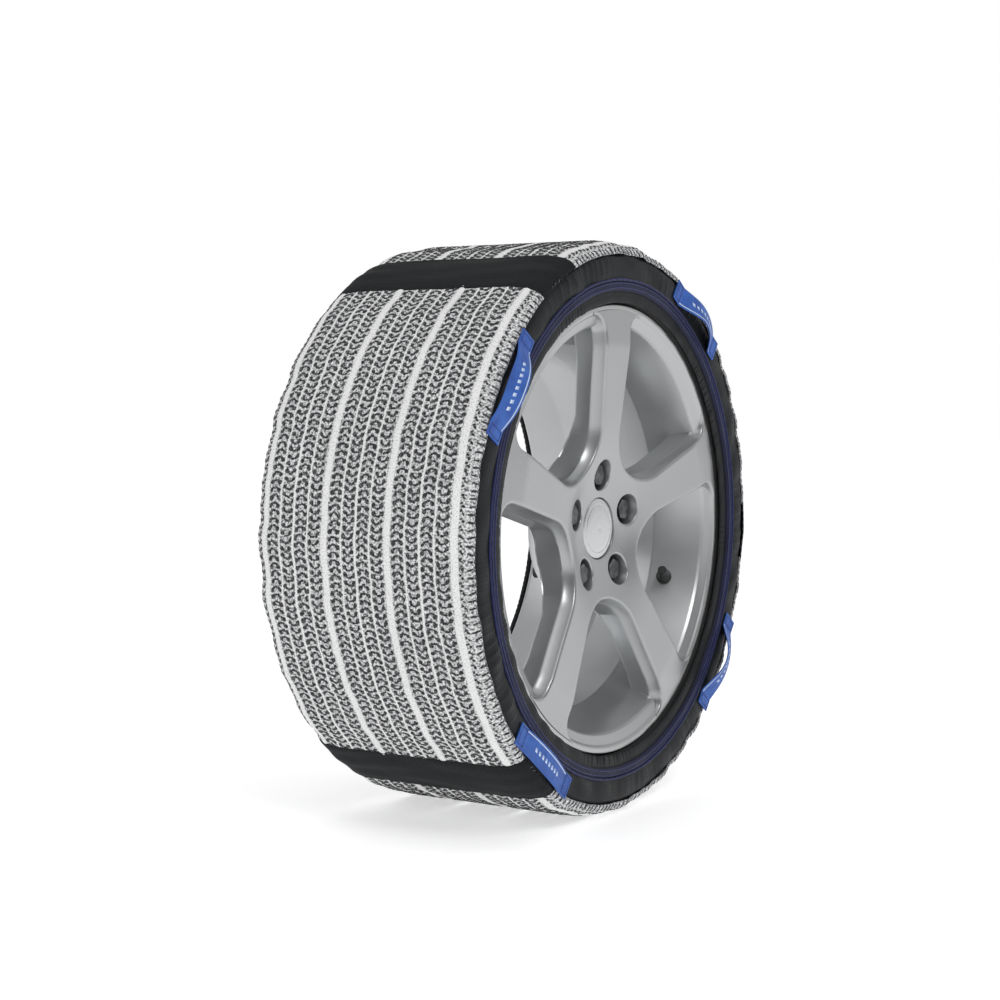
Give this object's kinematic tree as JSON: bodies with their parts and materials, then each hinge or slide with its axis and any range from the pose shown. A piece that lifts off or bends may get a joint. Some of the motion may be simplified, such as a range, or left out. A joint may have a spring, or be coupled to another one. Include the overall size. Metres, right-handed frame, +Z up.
{
  "type": "snow sock on a wheel",
  "caption": "Textile snow sock with a knitted tread, elastic hems and blue grab handles, stretched over a low-profile tyre on a spoked alloy wheel.",
  "frame": {"origin": "centre of the hub's mounting face, on the wheel's axis", "axes": "+Y along the wheel's axis towards the car (inboard), so the outboard face looks along -Y; +Z up; +X to the right as seen from outboard"},
  "size_m": [0.635, 0.2891, 0.6326],
  "materials": {
    "alloy": "silver lacquer, satin",
    "cap": "silver lacquer, satin",
    "steel": "zinc plated",
    "brass": "plain",
    "valve_rubber": "matte",
    "valve_plastic": "matte",
    "tyre_rubber": "matte",
    "knit": "open knit of white yarn with dark grey loops",
    "band_fabric": "smooth woven band",
    "edge_thread": "overlock thread",
    "side_fabric": "light nylon, gathered",
    "hem_tape": "navy binding tape",
    "piping": "navy piping",
    "elastic": "braided elastic cord",
    "webbing": "blue webbing"
  },
  "bodies": {
    "wheel": {"rim_outboard": "alloy", "rim_inboard": "alloy", "wheel_hub": "alloy", "wheel_spokes": "alloy", "wheel_bolts": "steel", "valve_body": "valve_rubber", "valve_stem": "brass", "valve_core": "brass", "tyre": "tyre_rubber"},
    "sock": {"tread_fabric_left": "knit", "tread_fabric_bottom": "knit", "tread_fabric_right": "knit", "seam_band_top": "band_fabric", "seam_band_bottom": "band_fabric", "seam_band_right": "band_fabric", "outer_edge_binding": "edge_thread", "outer_side_panel": "side_fabric", "outer_hem": "hem_tape", "outer_elastic_cord": "elastic", "outer_piping": "piping", "outer_ruffle": "side_fabric", "inner_edge_binding": "edge_thread", "inner_side_panel": "side_fabric", "inner_hem": "side_fabric", "inner_elastic_cord": "elastic", "handle_1_tabs": "webbing", "handle_2_tabs": "webbing", "handle_3_tabs": "webbing", "handle_4_tabs": "webbing"},
    "cap": {"center_cap": "cap", "cap_retaining_ring": "steel"},
    "valve_cap": {"valve_cap": "valve_plastic"},
    "handle_1": {"handle_1_loop": "webbing"},
    "handle_2": {"handle_2_loop": "webbing"},
    "handle_3": {"handle_3_loop": "webbing"},
    "handle_4": {"handle_4_loop": "webbing"}
  },
  "joints": [
    {"name": "sock_pull_off", "type": "slide", "parent": "wheel", "child": "sock", "axis": [0, -1, 0], "range_m": [0, 0.32], "deforming": ["inner_edge_binding", "inner_side_panel", "inner_hem", "inner_elastic_cord"]},
    {"name": "center_cap_pull", "type": "slide", "parent": "wheel", "child": "cap", "axis": [0, -1, 0], "range_m": [0, 0.04]},
    {"name": "valve_cap_off", "type": "slide", "parent": "wheel", "child": "valve_cap", "axis": [-0.8661, -0.3881, 0.3152], "range_m": [0, 0.02]},
    {"name": "handle_1_swing", "type": "hinge", "parent": "sock", "child": "handle_1", "pos_m": [0.16753, -0.0788, 0.23487], "axis": [-0.8141, 0, 0.5807], "range_deg": [-20, 20], "stiffness_Nm_per_rad": 0.15},
    {"name": "handle_2_swing", "type": "hinge", "parent": "sock", "child": "handle_2", "pos_m": [-0.24058, -0.0788, 0.15923], "axis": [-0.5519, 0, -0.8339], "range_deg": [-20, 20], "stiffness_Nm_per_rad": 0.15},
    {"name": "handle_3_swing", "type": "hinge", "parent": "sock", "child": "handle_3", "pos_m": [-0.17563, -0.0788, -0.22888], "axis": [0.7934, 0, -0.6088], "range_deg": [-10, 20], "stiffness_Nm_per_rad": 0.15},
    {"name": "handle_4_swing", "type": "hinge", "parent": "sock", "child": "handle_4", "pos_m": [0.22888, -0.0788, -0.17563], "axis": [0.6088, 0, 0.7934], "range_deg": [-20, 20], "stiffness_Nm_per_rad": 0.15}
  ]
}
